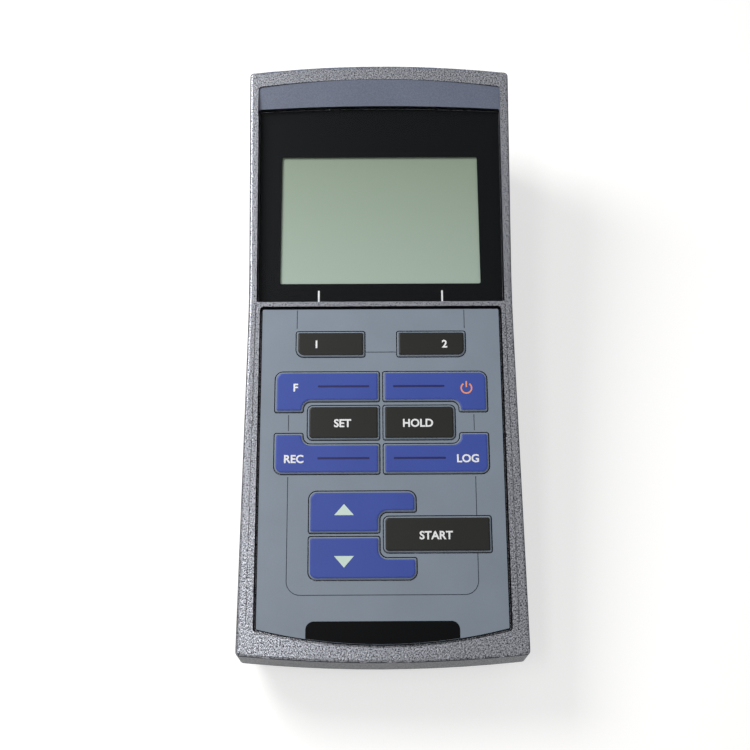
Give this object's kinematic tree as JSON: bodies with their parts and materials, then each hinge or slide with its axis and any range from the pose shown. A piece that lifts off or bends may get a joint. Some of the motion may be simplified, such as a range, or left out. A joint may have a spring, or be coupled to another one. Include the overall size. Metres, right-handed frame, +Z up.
{
  "type": "portable conductivity meter",
  "caption": "Hand-held conductivity meter with a waisted housing, display window, soft keypad, battery bay and a round measuring socket; stands tilted on rubber feet.",
  "frame": {"origin": "on the table, below the middle of the meter's bounding box, with the meter standing on its feet", "axes": "+Z up, +Y from the user's end to the display end, +X to the right of the keypad"},
  "size_m": [0.0804, 0.1864, 0.0561],
  "materials": {
    "housing_front": "fine moulded grain, anthracite grey",
    "housing_rear": "fine moulded grain, anthracite grey",
    "seal_rubber": "smooth black silicone",
    "screw_steel": "stainless steel",
    "foot_rubber": "black rubber",
    "window": "clear acrylic, printed black behind, with a clear field",
    "lcd": "grey-green reflective liquid crystal cell",
    "inner_plastic": "natural moulded plastic",
    "keypad": "grey-blue silicone",
    "label": "bare black strip",
    "key_blue": "silicone with a blue printed face",
    "key_black": "silicone with a black printed face",
    "board": "green circuit board",
    "chip": "black chip body",
    "dome_steel": "stainless snap domes",
    "socket_metal": "nickel-plated brass",
    "contact_brass": "gold-plated contacts",
    "insulator": "black insulator",
    "cell": "plain metallic sleeve"
  },
  "bodies": {
    "housing": {"front_housing": "housing_front", "rear_housing": "housing_rear", "housing_seal": "seal_rubber", "housing_screws": "screw_steel", "rubber_feet": "foot_rubber", "display_window": "window", "lcd_frame": "inner_plastic", "lcd_glass": "lcd", "lcd_diffuser": "inner_plastic", "lcd_contact_strips": "seal_rubber", "keypad_sheet": "keypad", "label_strip": "label", "main_board": "board", "board_screws": "screw_steel", "key_domes": "dome_steel", "processor": "chip", "small_chips": "chip", "buzzer": "chip", "socket_board": "board", "board_link": "insulator", "socket_shell": "socket_metal", "socket_insert": "insulator", "socket_contacts": "contact_brass", "socket_nut": "socket_metal", "socket_ring": "seal_rubber", "usb_socket": "socket_metal", "flap_anchor": "seal_rubber", "battery_cells": "cell", "contact_plates": "dome_steel", "contact_springs": "dome_steel"},
    "key_soft_left": {"key_soft_left": "key_black"},
    "key_soft_right": {"key_soft_right": "key_black"},
    "key_mode": {"key_mode": "key_blue"},
    "key_power": {"key_power": "key_blue"},
    "key_set": {"key_set": "key_black"},
    "key_hold": {"key_hold": "key_black"},
    "key_store": {"key_store": "key_blue"},
    "key_recall": {"key_recall": "key_blue"},
    "key_up": {"key_up": "key_blue"},
    "key_down": {"key_down": "key_blue"},
    "key_confirm": {"key_confirm": "key_black"},
    "flap": {"usb_flap": "seal_rubber"},
    "cover": {"battery_cover": "housing_rear", "cover_seal": "seal_rubber"},
    "screw_near": {"cover_screw_near": "screw_steel"},
    "screw_far": {"cover_screw_far": "screw_steel"}
  },
  "joints": [
    {"name": "press_soft_left", "type": "slide", "parent": "housing", "child": "key_soft_left", "axis": [0, 0.1736, -0.9848], "range_m": [0, 0.0007], "stiffness_N_per_m": 1500, "springref_m": -0.0004},
    {"name": "press_soft_right", "type": "slide", "parent": "housing", "child": "key_soft_right", "axis": [0, 0.1736, -0.9848], "range_m": [0, 0.0007], "stiffness_N_per_m": 1500, "springref_m": -0.0004},
    {"name": "press_mode", "type": "slide", "parent": "housing", "child": "key_mode", "axis": [0, 0.1736, -0.9848], "range_m": [0, 0.0007], "stiffness_N_per_m": 1500, "springref_m": -0.0004},
    {"name": "press_power", "type": "slide", "parent": "housing", "child": "key_power", "axis": [0, 0.1736, -0.9848], "range_m": [0, 0.0007], "stiffness_N_per_m": 1500, "springref_m": -0.0004},
    {"name": "press_set", "type": "slide", "parent": "housing", "child": "key_set", "axis": [0, 0.1736, -0.9848], "range_m": [0, 0.0007], "stiffness_N_per_m": 1500, "springref_m": -0.0004},
    {"name": "press_hold", "type": "slide", "parent": "housing", "child": "key_hold", "axis": [0, 0.1736, -0.9848], "range_m": [0, 0.0007], "stiffness_N_per_m": 1500, "springref_m": -0.0004},
    {"name": "press_store", "type": "slide", "parent": "housing", "child": "key_store", "axis": [0, 0.1736, -0.9848], "range_m": [0, 0.0007], "stiffness_N_per_m": 1500, "springref_m": -0.0004},
    {"name": "press_recall", "type": "slide", "parent": "housing", "child": "key_recall", "axis": [0, 0.1736, -0.9848], "range_m": [0, 0.0007], "stiffness_N_per_m": 1500, "springref_m": -0.0004},
    {"name": "press_up", "type": "slide", "parent": "housing", "child": "key_up", "axis": [0, 0.1736, -0.9848], "range_m": [0, 0.0007], "stiffness_N_per_m": 1500, "springref_m": -0.0004},
    {"name": "press_down", "type": "slide", "parent": "housing", "child": "key_down", "axis": [0, 0.1736, -0.9848], "range_m": [0, 0.0007], "stiffness_N_per_m": 1500, "springref_m": -0.0004},
    {"name": "press_confirm", "type": "slide", "parent": "housing", "child": "key_confirm", "axis": [0, 0.1736, -0.9848], "range_m": [0, 0.0007], "stiffness_N_per_m": 1500, "springref_m": -0.0004},
    {"name": "flap_swing", "type": "hinge", "parent": "housing", "child": "flap", "pos_m": [0.018, 0.0911, 0.02863], "axis": [-1, 0, 0], "range_deg": [0, 90]},
    {"name": "cover_lift", "type": "slide", "parent": "housing", "child": "cover", "axis": [0, 0, -1], "range_m": [0, 0.03]},
    {"name": "screw_turn_near", "type": "hinge", "parent": "cover", "child": "screw_near", "pos_m": [0, 0.01471, 0.0012], "axis": [0, 0, -1], "continuous": true},
    {"name": "screw_turn_far", "type": "hinge", "parent": "cover", "child": "screw_far", "pos_m": [0, 0.08171, 0.0012], "axis": [0, 0, -1], "continuous": true}
  ]
}
